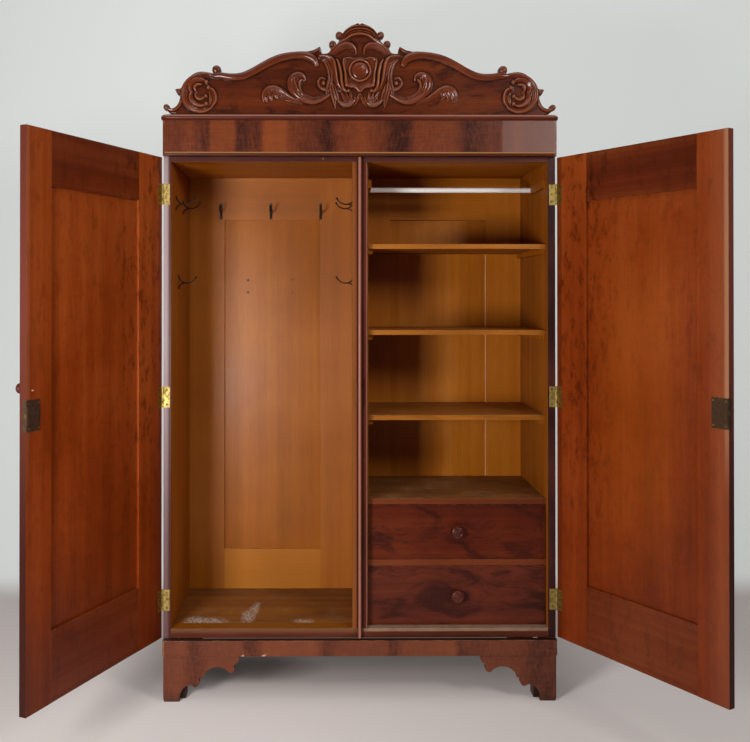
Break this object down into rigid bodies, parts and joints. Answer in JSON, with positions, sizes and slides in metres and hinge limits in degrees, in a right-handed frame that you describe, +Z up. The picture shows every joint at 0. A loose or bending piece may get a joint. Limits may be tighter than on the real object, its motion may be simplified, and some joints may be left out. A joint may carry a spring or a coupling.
{
  "type": "two-door wardrobe",
  "caption": "Free-standing wardrobe with two hinged doors, a hanging bay with coat hooks, a shelf bay over drawers, bracket feet and a tall carved crest.",
  "frame": {"origin": "on the floor under the middle of the case, in width and in depth", "axes": "+X to the right seen from the front, +Y from the front to the back, +Z up; the doors open towards -Y"},
  "size_m": [2.111, 1.1142, 2.406],
  "materials": {
    "iron": "dark, lightly rusted",
    "brass": "aged satin",
    "white_rod": "white paint, worn",
    "carved_mahogany": "polished, gloss in the hollows",
    "mahogany_veneer": "polished flame veneer",
    "dark_mahogany": "polished",
    "door_mahogany": "satin varnish",
    "plain_pine": "bare, aged",
    "stained_pine": "thin ochre stain"
  },
  "bodies": {
    "case": {"plinth_front": "mahogany_veneer", "plinth_frame": "mahogany_veneer", "foot_front_left": "mahogany_veneer", "foot_front_right": "mahogany_veneer", "foot_back_left": "mahogany_veneer", "foot_back_right": "mahogany_veneer", "side_left": "stained_pine", "side_right": "stained_pine", "case_bottom": "stained_pine", "case_top": "stained_pine", "bottom_rail": "mahogany_veneer", "partition": "stained_pine", "centre_stile": "mahogany_veneer", "back_left": "stained_pine", "back_right": "stained_pine", "frieze_front": "mahogany_veneer", "frieze_frame": "mahogany_veneer", "frieze_bead": "mahogany_veneer", "cornice_moulding": "mahogany_veneer", "cornice_board": "plain_pine", "crest_board": "carved_mahogany", "crest_roll": "carved_mahogany", "crest_shield": "carved_mahogany", "crest_scrolls": "carved_mahogany", "crest_corners": "carved_mahogany", "crest_blocks": "iron", "coat_hooks": "iron", "hanging_rod": "white_rod", "battens": "stained_pine", "shelf_upper": "stained_pine", "shelf_middle": "stained_pine", "shelf_lower": "stained_pine", "drawer_deck": "dark_mahogany", "drawer_rail": "dark_mahogany", "drawer_runners": "plain_pine", "case_hinges": "brass", "hinge_pins": "brass"},
    "left_door": {"left_door_stiles": "door_mahogany", "left_door_rails": "door_mahogany", "left_door_panel": "door_mahogany", "left_door_moulding": "door_mahogany", "left_door_lock": "iron", "left_door_hinges": "brass", "left_door_knob": "dark_mahogany"},
    "left_bolt": {"left_door_bolt": "brass"},
    "right_door": {"right_door_stiles": "door_mahogany", "right_door_rails": "door_mahogany", "right_door_panel": "door_mahogany", "right_door_moulding": "door_mahogany", "right_door_lock": "iron", "right_door_hinges": "brass"},
    "right_bolt": {"right_door_bolt": "brass"},
    "upper_drawer": {"upper_drawer_front": "dark_mahogany", "upper_drawer_box": "plain_pine", "upper_drawer_bottom": "plain_pine", "upper_drawer_knob": "dark_mahogany"},
    "lower_drawer": {"lower_drawer_front": "dark_mahogany", "lower_drawer_box": "plain_pine", "lower_drawer_bottom": "plain_pine", "lower_drawer_knob": "dark_mahogany"}
  },
  "joints": [
    {"name": "left_door_swing", "type": "hinge", "parent": "case", "child": "left_door", "pos_m": [-0.7035, -0.2405, 0], "axis": [0, 0, -1], "range_deg": [-114, 61]},
    {"name": "right_door_swing", "type": "hinge", "parent": "case", "child": "right_door", "pos_m": [0.7035, -0.2405, 0], "axis": [0, 0, 1], "range_deg": [-121, 54]},
    {"name": "upper_drawer_slide", "type": "slide", "parent": "case", "child": "upper_drawer", "axis": [0, -1, 0], "range_m": [0, 0.32]},
    {"name": "lower_drawer_slide", "type": "slide", "parent": "case", "child": "lower_drawer", "axis": [0, -1, 0], "range_m": [0, 0.32]},
    {"name": "left_bolt_slide", "type": "slide", "parent": "left_door", "child": "left_bolt", "axis": [-0.4067, -0.9135, 0], "range_m": [0, 0.006]},
    {"name": "right_bolt_slide", "type": "slide", "parent": "right_door", "child": "right_bolt", "axis": [0.515, -0.8572, 0], "range_m": [0, 0.006]}
  ]
}
